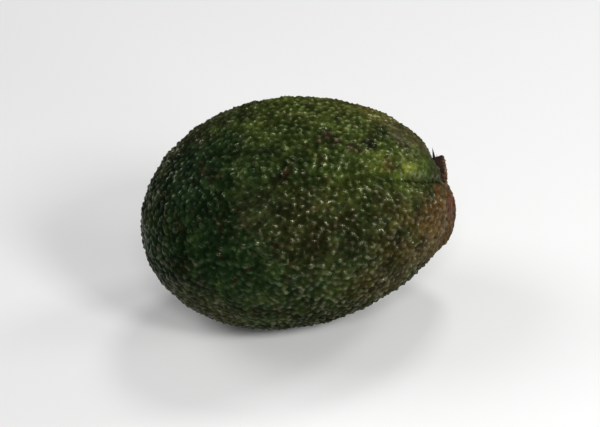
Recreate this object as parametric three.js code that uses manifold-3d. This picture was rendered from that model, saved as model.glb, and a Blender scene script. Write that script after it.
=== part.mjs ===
// A ripe-green avocado of the pebbly-skinned kind, lying on its side, with its dried stem button.
// Millimetres, +Z up. +X points at the stem end. The origin lies on the surface that the fruit
// rests on, below the middle of its box. The fruit is one solid; the button is a second one that
// stands in a shallow socket in the stem dimple.
//
// Run by: node, with the npm packages three and manifold-3d. The default export is a THREE.Group.

import * as THREE from "three";
import { ConvexHull } from "three/addons/math/ConvexHull.js";
import { mergeVertices } from "three/addons/utils/BufferGeometryUtils.js";
import Module from "manifold-3d";

// ---- Driving dimensions -------------------------------------------------------------------

// Fruit, measured over the tops of the pebbles.
const LENGTH = 100.6;
const WIDTH = 72.1;
const HEIGHT = 71.3;
const STEM_END_TAPER = 0.077; // how much slimmer the stem half is than the blossom half
const END_SLIMMING = 0.05; // how much slimmer both ends are than an ellipse
const SAG = { blossomEnd: 1.5, stemEnd: 0.6 }; // how far each end hangs below the middle
const STEM_END_DROOP_DEG = 2.5; // the slimmer stem end hangs lower than the blossom end

// Places on the skin are two angles: from the stem pole, and round the long axis, from +Z to +Y.
const STEM_PLACE = { fromPole: 20, round: -12 };
const SHOULDER_PLACE = { fromPole: 22, round: 208 };
const BLOSSOM_PLACE = { fromPole: 176, round: 150 };

// Forms wider than a pebble: how far each sinks (-) or swells (+), and its radius.
const DIMPLE = { place: STEM_PLACE, rise: -3.1, radius: 7.2 };
const SHOULDER = { place: SHOULDER_PLACE, rise: 2.8, radius: 8.4 };
const RIDGE = { place: { fromPole: 38, round: -42 }, rise: 0.5, radius: 7.5 };
const BROW = { place: { fromPole: 37, round: 2 }, rise: -0.6, radius: 8 };
const BLOSSOM_SCAR = { place: BLOSSOM_PLACE, rise: -0.9, radius: 3 };

// Folds that run from the stem dimple over the shoulder, each from one place to another: the first
// is the deep one. They fade in and out over shares of their length, and are smoother than the rest.
const FOLDS = [
  { fromPole: [31, 66], round: [-47, -48.5], depth: 2, halfWidth: 2.1 },
  { fromPole: [34, 55], round: [38, 50], depth: 0.7, halfWidth: 2.2 },
  { fromPole: [36, 52], round: [118, 124], depth: 0.5, halfWidth: 2.2 },
];
const FOLD_FADE_IN = [-0.4, 0.05];
const FOLD_FADE_OUT = [0.6, 1.15];
const FOLD_SMOOTH_SHARE = 0.6;

// Slow lumps that keep the fruit from being a perfect solid of revolution, as plane waves whose
// phase turns by this many radians from the fruit's middle to its end.
const LUMPS = [
  { rise: 0.35, waves: [0.9, 2.1, -1.4], phase: 0.6 },
  { rise: 0.25, waves: [-2.3, 1.2, 2.6], phase: 2.1 },
  { rise: 0.18, waves: [3.4, -2.8, 1.1], phase: 4.0 },
];

// Pebbles. On the smooth patches they lose a share of their height.
const PEBBLES = 1860;
const PEBBLE_HEIGHT = 0.85;
const PEBBLE_HEIGHT_SPREAD = 0.35; // the lowest pebble stands this share lower than the highest
const PEBBLE_SHIFT = 0.3; // how far a pebble strays from its even place, as a share of the spacing
const SMOOTH_PATCHES = [
  { place: STEM_PLACE, share: 0.7, radius: 12 },
  { place: RIDGE.place, share: 0.45, radius: 9 },
];
const SEED = 20417;

// Resting spot: how much of the underside is pressed flat.
const FLAT_DEPTH = 1.2;

// Stem button, on an axis that leans to one side. Its outline runs from the middle of its root to
// the middle of its dished face, in shares of its radius, and of its rise or root.
const BUTTON_AXIS = { fromPole: 18, round: -64 };
const BUTTON_RADIUS = 4.5;
const BUTTON_RISE = 2.9; // from the bottom of the dimple to the rim
const BUTTON_ROOT = 2.2; // below the bottom of the dimple
const BUTTON_OUTLINE = [
  [0, -1],
  [0.8, -1],
  [0.91, 0],
  [0.93, 0.35],
  [0.97, 0.6],
  [1, 0.8],
  [0.9, 1],
  [0.71, 0.95],
  [0.42, 0.76],
  [0, 0.8],
];
const BUTTON_SIDES = 30;
const BUTTON_CHIPS = [
  { share: 0.05, count: 3, phase: 0.8 },
  { share: 0.035, count: 7, phase: 2.2 },
]; // waves round its rim, as shares of its radius
const NECK_RADIUS = 0.91 * BUTTON_RADIUS;

// A sliver of torn bark that stands off the button's neck.
const FLAKE_LENGTH = 6.9; // from the button's axis to the tip of the torn bark
const FLAKE_RADIUS = 0.95;
const FLAKE_RISE = 0.55; // above the bottom of the dimple
const FLAKE_ROOT = 1.2; // sunk into the neck
const FLAKE_TURN_DEG = 28; // round the button's axis, from +Z to +Y
const FLAKE_SIDES = 5;

const SOCKET_GAP = 0.4;

const SKIN_GREEN = 0x2f3d1c;
const BARK_BROWN = 0x4a3325;

// ---- Small helpers ------------------------------------------------------------------------

const wasm = await Module();
wasm.setup();

const radians = THREE.MathUtils.degToRad;
const bell = (distance, radius) => Math.exp(-((distance / radius) ** 2));

// A seeded draw from 0 to 1.
function seededDraw(seed) {
  let state = seed;
  return () => {
    state = (state + 0x6d2b79f5) | 0;
    let t = Math.imul(state ^ (state >>> 15), 1 | state);
    t = (t + Math.imul(t ^ (t >>> 7), 61 | t)) ^ t;
    return ((t ^ (t >>> 14)) >>> 0) / 2 ** 32;
  };
}

// A closed geometry as a manifold-3d solid.
function toSolid(geometry) {
  const bare = geometry.clone();
  bare.deleteAttribute("normal");
  bare.deleteAttribute("uv");
  const merged = mergeVertices(bare, 1e-4);
  return new wasm.Manifold(
    new wasm.Mesh({
      numProp: 3,
      vertProperties: new Float32Array(merged.attributes.position.array),
      triVerts: new Uint32Array(merged.index.array),
    }),
  );
}

function toGeometry(solid) {
  const mesh = solid.getMesh();
  const geometry = new THREE.BufferGeometry();
  geometry.setAttribute("position", new THREE.BufferAttribute(mesh.vertProperties, 3));
  geometry.setIndex(new THREE.BufferAttribute(mesh.triVerts, 1));
  geometry.computeVertexNormals();
  return geometry;
}

// ---- The fruit's form ---------------------------------------------------------------------

// The direction of a place, as a point of the unit sphere whose +X is the stem pole.
function directionOf({ fromPole, round }) {
  const polar = radians(fromPole);
  const turn = radians(round);
  return new THREE.Vector3(
    Math.cos(polar),
    Math.sin(polar) * Math.sin(turn),
    Math.sin(polar) * Math.cos(turn),
  );
}

// The egg that the fruit is drawn from: an ellipsoid, slimmer towards the stem and at both ends.
function eggPoint(direction) {
  const girth = 1 - STEM_END_TAPER * direction.x - END_SLIMMING * direction.x ** 2;
  const sag = direction.x > 0 ? SAG.stemEnd : SAG.blossomEnd;
  return new THREE.Vector3(
    (LENGTH / 2) * direction.x,
    (WIDTH / 2) * girth * direction.y,
    (HEIGHT / 2) * girth * direction.z - sag * direction.x ** 2,
  );
}

function outwards(direction) {
  return new THREE.Vector3(direction.x / LENGTH, direction.y / WIDTH, direction.z / HEIGHT).normalize();
}

// A fold as a straight run between two places, with the directions along and across it.
function foldRun({ fromPole, round, depth, halfWidth }) {
  const [from, to] = [0, 1].map((end) => directionOf({ fromPole: fromPole[end], round: round[end] }));
  const start = eggPoint(from);
  const run = eggPoint(to).sub(start);
  const up = outwards(from).add(outwards(to)).normalize();
  const across = new THREE.Vector3().crossVectors(up, run).normalize();
  return { start, length: run.length(), along: run.normalize(), across, up, depth, halfWidth };
}

const foldRuns = FOLDS.map(foldRun);
const swells = [DIMPLE, SHOULDER, RIDGE, BROW, BLOSSOM_SCAR].map(({ place, rise, radius }) => ({
  centre: eggPoint(directionOf(place)),
  rise,
  radius,
}));

const smoothPatches = SMOOTH_PATCHES.map(({ place, share, radius }) => ({
  centre: eggPoint(directionOf(place)),
  share,
  radius,
}));

// How far a fold sinks the skin at a point: deepest by the stem, fading to its far end.
function foldDepth(point, { start, length, along, across, up, depth, halfWidth }) {
  const away = point.clone().sub(start);
  const isFarSide = away.dot(up) < -LENGTH / 4;
  if (isFarSide) return 0;
  const share = away.dot(along) / length;
  const { smoothstep } = THREE.MathUtils;
  const window = smoothstep(share, ...FOLD_FADE_IN) * (1 - smoothstep(share, ...FOLD_FADE_OUT));
  return depth * window * bell(away.dot(across), halfWidth);
}

// Everything wider than a pebble that lifts or sinks the skin from the egg.
function formRise(point) {
  let rise = 0;
  for (const { centre, rise: height, radius } of swells) {
    rise += height * bell(point.distanceTo(centre), radius);
  }
  for (const fold of foldRuns) rise -= foldDepth(point, fold);
  for (const { rise: height, waves, phase } of LUMPS) {
    rise += height * Math.sin((2 * point.dot(new THREE.Vector3(...waves))) / LENGTH + phase);
  }
  return rise;
}

// How high a pebble stands at a point of the egg: less on the smooth patches and in the folds.
function pebbleHeight(point) {
  let height = PEBBLE_HEIGHT;
  for (const { centre, share, radius } of smoothPatches) {
    height *= 1 - share * bell(point.distanceTo(centre), radius);
  }
  for (const fold of foldRuns) height *= 1 - (FOLD_SMOOTH_SHARE * foldDepth(point, fold)) / fold.depth;
  return height;
}

// A point of the skin: on the egg, moved out by the form, and in from the pebbles' tops.
function skinPoint(direction, pebbleShare) {
  const point = eggPoint(direction);
  const rise = formRise(point) - (1 - pebbleShare) * pebbleHeight(point);
  return point.addScaledVector(outwards(direction), rise);
}

// ---- Pebbled skin -------------------------------------------------------------------------

// Even places for the pebbles' tops round the fruit, by the golden angle, each one strayed a little.
function pebbleTops(draw) {
  const goldenAngle = Math.PI * (3 - Math.sqrt(5));
  const stray = PEBBLE_SHIFT * Math.sqrt((4 * Math.PI) / PEBBLES);
  return Array.from({ length: PEBBLES }, (_, i) => {
    const x = 1 - (2 * i + 1) / PEBBLES;
    const girth = Math.sqrt(1 - x * x);
    const turn = i * goldenAngle;
    const top = new THREE.Vector3(x, girth * Math.cos(turn), girth * Math.sin(turn));
    const nudge = new THREE.Vector3(draw() - 0.5, draw() - 0.5, draw() - 0.5);
    return top.addScaledVector(nudge, 2 * stray).normalize();
  });
}

// One closed mesh of low pebbles. Each pebble is a pyramid whose foot is the part of the skin that
// lies nearer to its top than to any other: the hull of the tops gives the neighbours, and each
// corner of a foot stands over the middle of three neighbouring tops.
function pebbledSkin() {
  const draw = seededDraw(SEED);
  const tops = pebbleTops(draw);
  const hull = new ConvexHull().setFromPoints(tops);
  const positions = [];
  const addPoint = (direction, pebbleShare) => {
    positions.push(...skinPoint(direction, pebbleShare).toArray());
    return positions.length / 3 - 1;
  };
  const topIndex = new Map(tops.map((top) => [top, addPoint(top, 1 - PEBBLE_HEIGHT_SPREAD * draw())]));
  const footIndex = new Map();
  for (const face of hull.faces) {
    const middle = new THREE.Vector3();
    for (const edge of [face.edge, face.edge.next, face.edge.prev]) middle.add(edge.head().point);
    footIndex.set(face, addPoint(middle.normalize(), 0));
  }
  const triangles = [];
  for (const face of hull.faces) {
    for (const edge of [face.edge, face.edge.next, face.edge.prev]) {
      triangles.push(topIndex.get(edge.tail().point), footIndex.get(edge.twin.face), footIndex.get(face));
    }
  }
  const geometry = new THREE.BufferGeometry();
  geometry.setAttribute("position", new THREE.Float32BufferAttribute(positions, 3));
  geometry.setIndex(triangles);
  return geometry;
}

// ---- Stem button --------------------------------------------------------------------------

// A woody stub with a chipped, uneven rim, its axis along +X, grown all round and below by a gap.
function buttonBody(gap) {
  const outline = BUTTON_OUTLINE.map(([out, up]) => {
    const radius = out > 0 ? BUTTON_RADIUS * out + gap : 0;
    const rise = up < 0 ? BUTTON_ROOT * up - gap : BUTTON_RISE * up;
    return new THREE.Vector2(radius, rise);
  });
  const geometry = new THREE.LatheGeometry(outline, BUTTON_SIDES);
  const position = geometry.attributes.position;
  for (let i = 0; i < position.count; i++) {
    const turn = Math.atan2(position.getZ(i), position.getX(i));
    let uneven = 1;
    for (const { share, count, phase } of BUTTON_CHIPS) uneven += share * Math.sin(count * turn + phase);
    position.setX(i, position.getX(i) * uneven);
    position.setZ(i, position.getZ(i) * uneven);
  }
  return geometry.rotateZ(-Math.PI / 2);
}

// The sliver, pointing away from the button's axis on the upper side.
function barkFlake() {
  const length = FLAKE_LENGTH - NECK_RADIUS + FLAKE_ROOT;
  const flake = new THREE.ConeGeometry(FLAKE_RADIUS, length, FLAKE_SIDES);
  flake.translate(FLAKE_RISE, FLAKE_LENGTH - length / 2, 0);
  return flake.rotateX(radians(90 - FLAKE_TURN_DEG));
}

// Where the button stands: on the bottom of the dimple, leaning to one side.
const buttonPlace = new THREE.Matrix4().compose(
  skinPoint(directionOf(STEM_PLACE), 0),
  new THREE.Quaternion().setFromUnitVectors(new THREE.Vector3(1, 0, 0), directionOf(BUTTON_AXIS)),
  new THREE.Vector3(1, 1, 1),
);

// ---- Assembly -----------------------------------------------------------------------------

const droop = new THREE.Matrix4().makeRotationY(radians(STEM_END_DROOP_DEG));

// Everything below the resting plane, as a block in the fruit's own undrooped frame.
function groundBlock(restHeight) {
  const block = new THREE.BoxGeometry(2 * LENGTH, 2 * LENGTH, LENGTH);
  block.translate(0, 0, restHeight - LENGTH / 2);
  return toSolid(block.applyMatrix4(droop.clone().invert()));
}

function mesh(name, solid, color, roughness) {
  const material = new THREE.MeshStandardMaterial({ color, roughness, metalness: 0 });
  const made = new THREE.Mesh(toGeometry(solid), material);
  made.name = name;
  return made;
}

const skin = pebbledSkin();
const drooped = skin.clone().applyMatrix4(droop);
drooped.computeBoundingBox();
const restHeight = drooped.boundingBox.min.z + FLAT_DEPTH;

const socket = toSolid(buttonBody(SOCKET_GAP).applyMatrix4(buttonPlace));
const fruitSolid = toSolid(skin).subtract(groundBlock(restHeight)).subtract(socket);
const fruit = mesh("fruit", fruitSolid, SKIN_GREEN, 0.45);
const buttonSolid = toSolid(buttonBody(0)).add(toSolid(barkFlake()));
const button = mesh("stem_button", buttonSolid, BARK_BROWN, 0.85);
button.applyMatrix4(buttonPlace);

const lying = new THREE.Group();
lying.add(fruit, button);
lying.rotation.y = radians(STEM_END_DROOP_DEG);

const avocado = new THREE.Group();
avocado.add(lying);
const box = new THREE.Box3().setFromObject(avocado, true);
const middle = box.getCenter(new THREE.Vector3());
lying.position.set(-middle.x, -middle.y, -box.min.z);

export default avocado;
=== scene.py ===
# The finished avocado: its pebbled, waxy skin and its dried stem button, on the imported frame.
# Metres, +Z up, +X towards the stem end. Places on the skin are two angles in degrees: from the
# stem pole, and round the long axis from +Z to +Y.

import math
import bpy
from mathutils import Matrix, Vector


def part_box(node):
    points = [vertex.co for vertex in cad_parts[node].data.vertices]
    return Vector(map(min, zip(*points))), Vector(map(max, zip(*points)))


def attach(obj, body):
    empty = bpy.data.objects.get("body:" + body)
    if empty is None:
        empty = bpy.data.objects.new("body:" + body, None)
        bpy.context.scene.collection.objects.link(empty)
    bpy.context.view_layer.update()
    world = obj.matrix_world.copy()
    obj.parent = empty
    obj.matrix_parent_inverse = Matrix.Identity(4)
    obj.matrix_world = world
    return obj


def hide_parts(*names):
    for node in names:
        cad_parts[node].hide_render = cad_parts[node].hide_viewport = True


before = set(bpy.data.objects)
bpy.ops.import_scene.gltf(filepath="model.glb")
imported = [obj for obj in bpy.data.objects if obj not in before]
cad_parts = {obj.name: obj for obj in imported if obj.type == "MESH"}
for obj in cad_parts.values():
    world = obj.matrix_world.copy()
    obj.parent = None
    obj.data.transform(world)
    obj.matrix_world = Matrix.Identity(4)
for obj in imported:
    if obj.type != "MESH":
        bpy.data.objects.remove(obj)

from types import SimpleNamespace

import bmesh
import bpy
import numpy as np
from bpy.props import FloatProperty, FloatVectorProperty, IntProperty, PointerProperty
from bpy.types import Operator, Panel, PropertyGroup
from mathutils import Matrix, Vector
from mathutils import noise as waves

bl_info = {
    "name": "Avocado",
    "version": (1, 0, 0),
    "blender": (4, 5, 0),
    "location": "View3D > Sidebar > Avocado",
    "description": "Dresses the packed avocado with its pebbled skin and dried stem button",
    "category": "Object",
}

MM = 0.001

# ---- The fruit's form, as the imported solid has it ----

STEM_END_TAPER = 0.077
END_SLIMMING = 0.05
BLOSSOM_END_SAG = 1.5 * MM
STEM_END_SAG = 0.6 * MM
STEM_END_DROOP = math.radians(2.5)
FORM_MIDDLE = np.array([-0.627, -0.320, 34.706]) * MM  # where the drooped form lies in the frame
SOLID_FIT = 0.5 * MM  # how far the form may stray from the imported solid's box

STEM_PLACE = (20, -12)
SHOULDER_PLACE = (22, 208)
RIDGE_PLACE = (38, -42)
BROW_PLACE = (37, 2)
BLOSSOM_PLACE = (176, 150)

# Place, how far it swells or sinks, and its radius.
SWELLS = [
    (STEM_PLACE, -3.1 * MM, 7.2 * MM),
    (SHOULDER_PLACE, 2.8 * MM, 8.4 * MM),
    (RIDGE_PLACE, 0.5 * MM, 7.5 * MM),
    (BROW_PLACE, -0.6 * MM, 8 * MM),
    (BLOSSOM_PLACE, -0.9 * MM, 3 * MM),
    ((27, -30), -1.1 * MM, 4.2 * MM),
    ((35, -20), -1 * MM, 4.6 * MM),
    ((28, -56), -1.2 * MM, 3 * MM),
    ((21, -54), -0.9 * MM, 2.4 * MM),
]

# From one place to another, how deep, and half the width.
FOLDS = [
    ((31, -47), (66, -48.5), 1.6 * MM, 2.1 * MM),
    ((34, 38), (55, 50), 0.7 * MM, 2.2 * MM),
    ((36, 118), (52, 124), 0.5 * MM, 2.2 * MM),
]
# Shares of the way along a fold, between which it deepens and fades.
FOLD_FADE_IN = (-0.4, 0.05)
FOLD_FADE_OUT = (0.6, 1.15)
FOLD_SMOOTH_SHARE = 0.6
# Narrow lines at the bottom of the folds.
CREASES = [
    ((42, -50.5), (75, -50), 0.2 * MM, 0.65 * MM),
    ((34, 38), (55, 50), 0.25 * MM, 0.7 * MM),
    ((36, 118), (52, 124), 0.25 * MM, 0.7 * MM),
]

# Height, how many radians the wave turns from the middle to the end along each axis, and phase.
LUMPS = [
    (0.35 * MM, (0.9, 2.1, -1.4), 0.6),
    (0.25 * MM, (-2.3, 1.2, 2.6), 2.1),
    (0.18 * MM, (3.4, -2.8, 1.1), 4.0),
]

# ---- The skin: its pebbles, tints and gloss ----

# Where pebbles stand lower: place, share lost and radius.
SMOOTH_PATCHES = [
    (STEM_PLACE, 0.8, 9 * MM),
    ((45, -36), 0.65, 6 * MM),
    ((56, -37), 0.45, 6 * MM),
    ((67, -39), 0.2, 5 * MM),
    ((57, -18), 0.85, 4.6 * MM),
    ((42, -16), 0.35, 7 * MM),
    ((56, -65), 0.75, 2.6 * MM),
    ((28, -80), 0.7, 8.5 * MM),
    ((37, -107), 0.5, 9 * MM),
    ((150, -130), 0.45, 24 * MM),
    ((128, -105), 0.2, 20 * MM),
    (BLOSSOM_PLACE, 0.6, 3.5 * MM),
]

# Tinted patches, the later over the earlier: place, radius, the colour's name and its strength.
PATCHES = [
    ((88, -48), 9 * MM, "fresh_green", 0.65),
    ((102, -42), 8 * MM, "deep_green", 0.7),
    ((98, -20), 8 * MM, "deep_green", 0.5),
    ((86, -38), 4.5 * MM, "deep_green", 0.5),
    ((114, -29), 5 * MM, "deep_green", 0.7),
    ((115, -14), 5 * MM, "leaf_green", 0.5),
    ((94, -96), 8 * MM, "leaf_green", 0.4),
    ((80, -47), 5 * MM, "fresh_green", 0.5),
    ((104, -46), 4.5 * MM, "fresh_green", 0.45),
    # Lit Top Olive patches are olive skin painted lighter as painted light on the top towards the
    # stem.
    ((79, 8), 7 * MM, "lit_top_olive", 0.3),
    ((125, -12), 9 * MM, "deep_green", 0.75),
    ((58, 13), 11 * MM, "lit_top_olive", 0.8),
    ((52, -14), 9 * MM, "shoulder_olive", 0.8),
    ((48, 30), 9 * MM, "shoulder_olive", 0.6),
    (STEM_PLACE, 9 * MM, "grey_brown", 0.7),
    ((42, -22), 3.6 * MM, "grey_brown", 0.8),
    ((71, -102), 11 * MM, "olive_brown", 0.75),
    ((56, -84), 10 * MM, "olive_brown", 0.8),
    ((46, -58), 5 * MM, "olive_brown", 0.4),
    ((67, -70), 9 * MM, "olive_brown", 0.6),
    ((97, -80), 12 * MM, "umber", 0.35),
    ((93, -84), 11 * MM, "deep_green", 0.4),
    ((98, -64), 11 * MM, "olive_brown", 0.4),
    ((118, -55), 8 * MM, "grey_green", 0.25),
    ((113, -70), 6 * MM, "umber", 0.15),
    ((62, -116), 10 * MM, "grey_brown", 0.65),
    ((45, -84), 11 * MM, "russet", 0.5),
    ((30, -84), 9.5 * MM, "russet", 0.85),
    ((50, -75), 6 * MM, "russet", 0.3),
    ((36, -103), 8 * MM, "russet", 0.75),
    ((46, -108), 7 * MM, "grey_brown", 0.5),
    ((27, 205), 11 * MM, "russet", 0.7),
    # Painted sheen: the grey patches at (128, 32), (124, 35), (144, 40), (167, 20) and (110, 24)
    # lighten the upper outline of the blossom half as the camera sees it.
    ((128, 32), 13 * MM, "grey_green", 0.3),
    ((124, 35), 8 * MM, "grey_brown", 0.3),
    ((144, 40), 9 * MM, "grey_brown", 0.3),
    ((167, 20), 7 * MM, "grey_brown", 0.2),
    ((145, -5), 12 * MM, "blue_green", 0.35),
    ((110, 24), 8 * MM, "grey_brown", 0.2),
    # Painted sheen: these three grey patches lighten the lower outline of the blossom half as the
    # camera sees it.
    ((141, -138), 12 * MM, "grey_brown", 0.15),
    ((132, -145), 11 * MM, "grey_green", 0.4),
    ((150, -170), 7 * MM, "grey_brown", 0.25),
    ((64, -37), 9 * MM, "bright_green", 0.8),
    ((46, -38), 5.5 * MM, "bright_green", 0.65),
    ((57, -40), 4.2 * MM, "yellow_green", 0.6),
    ((71, -39), 4.6 * MM, "yellow_green", 0.3),
    ((58, -42), 2.2 * MM, "yellow_green", 0.8),
    ((54, -33), 3 * MM, "leaf_green", 0.5),
    ((57, -18), 3.8 * MM, "grey_green", 0.9),
    ((56, -65), 2.6 * MM, "shade_green", 0.8),
    ((66, -38), 1.7 * MM, "russet", 0.3),
    ((41, -42), 4.5 * MM, "leaf_green", 0.8),
    ((37, -38), 2.6 * MM, "grey_brown", 0.7),
]

# The same, over the mottling.
LATE_PATCHES = [
    ((56.5, -18), 3.6 * MM, "grey_green", 0.75),
    ((30, -80), 5 * MM, "russet", 0.5),
    ((41, -57), 2.4 * MM, "russet", 0.6),
    ((28, -75), 3.8 * MM, "red_brown", 0.65),
    ((18, -80), 5 * MM, "red_brown", 0.6),
]

# Patches with little gloss: place, share lost and radius.
DULL_PATCHES = [
    ((42, -42), 0.7, 5 * MM),
    ((56.5, -18), 0.7, 4.5 * MM),
    ((56, -65), 0.8, 3.6 * MM),
    ((62, -86), 0.25, 13 * MM),
    ((119, -56), 0.4, 7 * MM),
    ((150, -128), 0.6, 24 * MM),
]

# Size across, where the noise starts and is full, the colour's name and its strength.
MOTTLING = [
    (5.5 * MM, 0.5, 0.75, "fresh_green", 0.28),
    (8 * MM, 0.5, 0.66, "deep_green", 0.5),
    (3.6 * MM, 0.54, 0.68, "umber", 0.6),
    (2.4 * MM, 0.52, 0.66, "deep_green", 0.4),
    (6 * MM, 0.56, 0.7, "blue_green", 0.25),
]

# Near-black stains, and brown scars in some of them: place, radius and strength.
STAINS = [
    ((87, -23.5), 3.4 * MM, 0.8),
    ((72, -28), 2.6 * MM, 0.85),
    ((79, -29.5), 2.6 * MM, 0.7),
    ((66, -80), 3 * MM, 0.7),
    ((107, -41), 2.2 * MM, 0.6),
    ((132, -24), 2.4 * MM, 0.6),
    ((95, 60), 4 * MM, 0.7),
    ((70, 120), 3 * MM, 0.7),
    ((120, 170), 3.6 * MM, 0.7),
]
SCARS = [
    ((90.5, -24), 1.2 * MM, 0.8),
    ((87, -22), 1.4 * MM, 0.9),
    ((84, -25), 1 * MM, 0.7),
    ((80, -30.5), 1.5 * MM, 0.95),
    ((76.8, -32.2), 1.1 * MM, 0.9),
    ((69.2, -26.4), 0.8 * MM, 0.5),
    ((105.5, -39.1), 1.2 * MM, 0.8),
    ((107.9, -42.8), 0.9 * MM, 0.8),
    ((92.1, -46.3), 1.0 * MM, 0.6),
    ((111.4, -74.4), 1.0 * MM, 0.8),
    ((134.8, -20), 1.3 * MM, 0.8),
    ((129, -28.5), 1.2 * MM, 0.7),
    ((95, 60), 2.2 * MM, 0.8),
    ((70, 120), 1.6 * MM, 0.8),
    ((120, 170), 2.0 * MM, 0.7),
]

# Pebbles: spacing and reach as shares of the given ones, and the flatness of their tops.
LARGE_PEBBLES = (1.0, 1.0, 3.0)
SMALL_PEBBLES = (0.62, 0.6, 2.2)
SMALL_PEBBLE_HEIGHT = 0.62
REACH_SPREAD = (0.82, 1.12)
HEIGHT_SPREAD = (0.55, 1.0)
PEBBLE_BLEND = 0.12
HIGHEST_PEBBLE = 1.15
MOST_PEBBLES = 4e6  # to a square metre
WANDER_SIZE = 2.2 * MM
SECOND_DRAW = 7.0  # scales a pebble's place to draw another number from it
PEBBLE_SOFTNESS = 0.4
# Unevenness of the pebbles: size across and share of a pebble's height.
UNEVENNESS = [(1.1 * MM, 0.3), (5 * MM, 0.35)]
LUMP_SIZE = 6.5 * MM
FORM_LEVEL = 0.85  # the share of a pebble's height that the form passes through
PAINT_LEVEL = 0.7  # the share that smooth skin is painted as

SKIN_CUTS = 127  # along each side of the cube that the skin is rounded from

# Where one green gives way to the next, along the fruit or in height.
LEAFY_RUN = (-34 * MM, 4 * MM)
FRESH_RUN = (8 * MM, 38 * MM)
# TOP_RUN and TOP_HEIGHTS bound the top, which is painted lighter as painted light from above.
TOP_RUN = (-38 * MM, 0.0)
TOP_HEIGHTS = (53 * MM, 68 * MM)
# LOWER_RUN and LOWER_HEIGHTS bound the lower side, browner skin that is also painted darker as
# painted shade.
LOWER_RUN = (-14 * MM, 22 * MM)
LOWER_HEIGHTS = (50 * MM, 28 * MM)
# SHADE_HEIGHTS bounds the painted shade of the lower side.
SHADE_HEIGHTS = (34 * MM, 12 * MM)
GREENS_DRIFT = 30 * MM  # how far these bounds stray along the fruit
CORKY_PLACE = (33, -93)
CORKY_RADIUS = 11 * MM
STREAKY_PLACE = (64, -39)
STREAKY_RADIUS = 6 * MM
STREAK_STRETCH = (1.0, 0.2, 0.2)
STREAK_WIDTH = 0.5 * MM
RUSSET_STREAK_PLACE = (67.7, -42)
RUSSET_STREAK_RADIUS = 2.4 * MM
PORE_SPACING = 2.6 * MM
# What a pattern of the skin multiplies: the pattern, two of its values and the factors there.
BRIGHTNESS = [
    # Painted shade: the pebble row darkens the valleys between the pebbles.
    ("pebble", 0.12, 0.75, 0.84, 0.98),
    ("speckled", 0.3, 0.7, 0.72, 1.3),
    ("patchy", 0.3, 0.7, 0.6, 1.4),
    ("broad", 0.3, 0.7, 0.75, 1.25),
    ("pick", 0.0, 1.0, 0.75, 1.25),
    # Painted shade: the crease row darkens the crease.
    ("crease", 0.12, 0.8, 1.0, 0.45),
    # Painted shade: the lower row darkens the lower side.
    ("lower", 0.0, 1.0, 1.0, 0.86),
]
WAX = [("patchy", 0.35, 0.65, 0.6, 1.4), ("corky", 0.0, 1.0, 1.0, 0.3)]
LEAST_WAX = 0.2
GLOSS = [("pebble", 0.42, 0.88, 0.05, 1.15), ("along", -35 * MM, 10 * MM, 0.8, 1.05)]
BLOOM = [("along", -38 * MM, 0.0, 0.6, 0.0), ("up", 5 * MM, 36 * MM, 0.4, 1.0)]
WAX_TINT = (0.95, 1.0, 0.6, 1.0)
SHEEN_TINT = (0.95, 0.9, 0.45, 1.0)

# ---- The stem button ----

BUTTON_AXIS = (18, -64)
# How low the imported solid's pebbles are round the button.
SOLID_PEBBLE_SINK = 0.85 * MM
SOLID_STEM_SMOOTHING = 0.7
SOLID_RIDGE_SMOOTHING = 0.45
SOLID_RIDGE_RADIUS = 9 * MM
# From the middle of the root to the middle of the face, in shares of the radius, and of the rise
# or, below the dimple, of the root.
BUTTON_OUTLINE = [
    (0, -1),
    (0.8, -1),
    (0.91, 0),
    (0.93, 0.35),
    (0.97, 0.6),
    (1, 0.8),
    (0.9, 1),
    (0.71, 0.95),
    (0.42, 0.76),
    (0, 0.8),
]
BUTTON_FACE_FROM = 0.7  # the share of the rise from which bark is also raised along the axis
BUTTON_FACE_RELIEF = 1.3
# Chips in the rim: share of the radius, how many round it, and phase.
BUTTON_CHIPS = [(0.05, 3, 0.8), (0.035, 7, 2.2)]
BUTTON_COLUMNS = 220
BUTTON_ROWS = 90
# Slivers of torn bark: how far the tip is from the axis, radius, rise above the dimple, degrees
# round the axis from +Z to +Y, and how far the tip curls towards the face.
SLIVERS = [
    (7.4 * MM, 1.7 * MM, -0.35 * MM, 20, -0.2 * MM),
    (5.5 * MM, 0.7 * MM, 0.5 * MM, 8, 0.15 * MM),
    (4.9 * MM, 0.6 * MM, 1.3 * MM, 150, 0.3 * MM),
]
SLIVER_FOOT = 2.9 * MM
SLIVER_TIP_SHARE = 0.02
SLIVER_FLATNESS = 0.35
SLIVER_RINGS = 26
SLIVER_SIDES = 22
SLIVER_RIBS = 2.5
SLIVER_RIB_DEPTH = 0.35
# Bark noise: how fast its finer layers fade, and how much finer each one is.
FRACTAL_FALL = 0.8
FRACTAL_STEP = 2.0
# How fine the fibres and cracks are round the button, and how much of the relief each makes.
FIBRES = 9
FIBRE_SHARE = 0.8
CRACKS = 3
CRACK_SHARE = 0.9

# ---- Stage ----

# Azimuths and elevations are in degrees: azimuth 0 is at -Y and 90 at +X.
VIEW_AZIMUTH = -20
VIEW_ELEVATION = 30
VIEW_DISTANCE = 560 * MM
VIEW_AIM = Vector((-0.64, -0.58, 33.7)) * MM
VIEW_LENS_MM = 108.4
SENSOR_WIDTH_MM = 36
VIEW_CLIP = (0.01, 50)
FLOOR_HALF = 3.0
ROOM_COLOUR = (0.9, 0.95, 1.0, 1.0)
ROOM_STRENGTH = 0.07
LIGHTS_AIM = Vector((0, 0, 35)) * MM
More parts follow.
